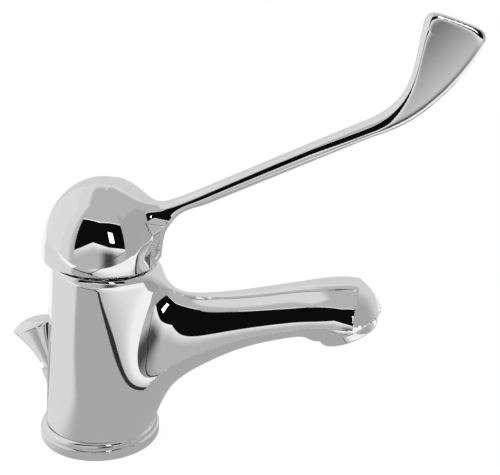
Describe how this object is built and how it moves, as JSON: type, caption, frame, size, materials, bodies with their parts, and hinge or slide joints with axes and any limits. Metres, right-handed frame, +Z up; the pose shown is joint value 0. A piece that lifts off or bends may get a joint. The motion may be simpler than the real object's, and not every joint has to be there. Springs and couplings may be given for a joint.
{
  "type": "elbow lever tap",
  "caption": "Chromed basin mixer tap with a long elbow lever that bends up into a paddle, a curved cast spout, ceramic disc cartridge and pop-up lift knob.",
  "frame": {"origin": "middle of the base on the deck, at the mouth of the central fixing bore", "axes": "+X along the spout and the lever, +Y to the left seen from the basin's back, +Z up out of the deck"},
  "size_m": [0.1922, 0.054, 0.1965],
  "materials": {
    "chrome_body": "mirror-polished chrome plate",
    "chrome_lever": "mirror-polished chrome plate",
    "chrome_trim": "polished chrome plate",
    "nut_brass": "turned brass",
    "cartridge_plastic": "moulded satin plastic",
    "disc_ceramic": "lapped white ceramic",
    "spindle_steel": "turned stainless steel",
    "screen_steel": "perforated stainless steel",
    "aerator_plastic": "moulded plastic",
    "seal_rubber": "black rubber",
    "index_plastic": "glossy plastic button with a dark red centre"
  },
  "bodies": {
    "root": {"body": "chrome_body", "base_ring": "chrome_body", "base_seal": "seal_rubber", "cartridge_housing": "cartridge_plastic", "cartridge_base": "cartridge_plastic", "inlet_seals": "seal_rubber", "fixed_disc": "disc_ceramic", "retaining_nut": "nut_brass", "cartridge_cover": "chrome_trim", "aerator_housing": "chrome_trim", "aerator_insert": "aerator_plastic", "aerator_screen": "screen_steel", "aerator_washer": "seal_rubber", "rod_guide": "cartridge_plastic"},
    "rotor": {"rotor": "cartridge_plastic"},
    "lever": {"lever": "chrome_lever", "stem": "spindle_steel", "stem_pin": "spindle_steel", "index_cap": "index_plastic", "lever_screw": "spindle_steel"},
    "carrier": {"disc_carrier": "cartridge_plastic", "moving_disc": "disc_ceramic"},
    "lift": {"lift_rod": "chrome_trim", "lift_knob": "chrome_trim"}
  },
  "joints": [
    {"name": "temperature", "type": "hinge", "parent": "root", "child": "rotor", "pos_m": [0.002, 0, 0.0841], "axis": [0.0349, 0, 0.9994], "range_deg": [-45, 45]},
    {"name": "flow", "type": "hinge", "parent": "rotor", "child": "lever", "pos_m": [0.002, 0, 0.0841], "axis": [0, -1, 0], "range_deg": [0, 22]},
    {"name": "carrier_slide", "type": "slide", "parent": "rotor", "child": "carrier", "axis": [0.9994, 0, -0.0349], "range_m": [0, 0.0035]},
    {"name": "drain_lift", "type": "slide", "parent": "root", "child": "lift", "axis": [-0.3584, 0, 0.9336], "range_m": [0, 0.018]}
  ],
  "couplings": [
    {"joint": "carrier_slide", "follows": "flow", "m_per_rad": 0.008945}
  ]
}
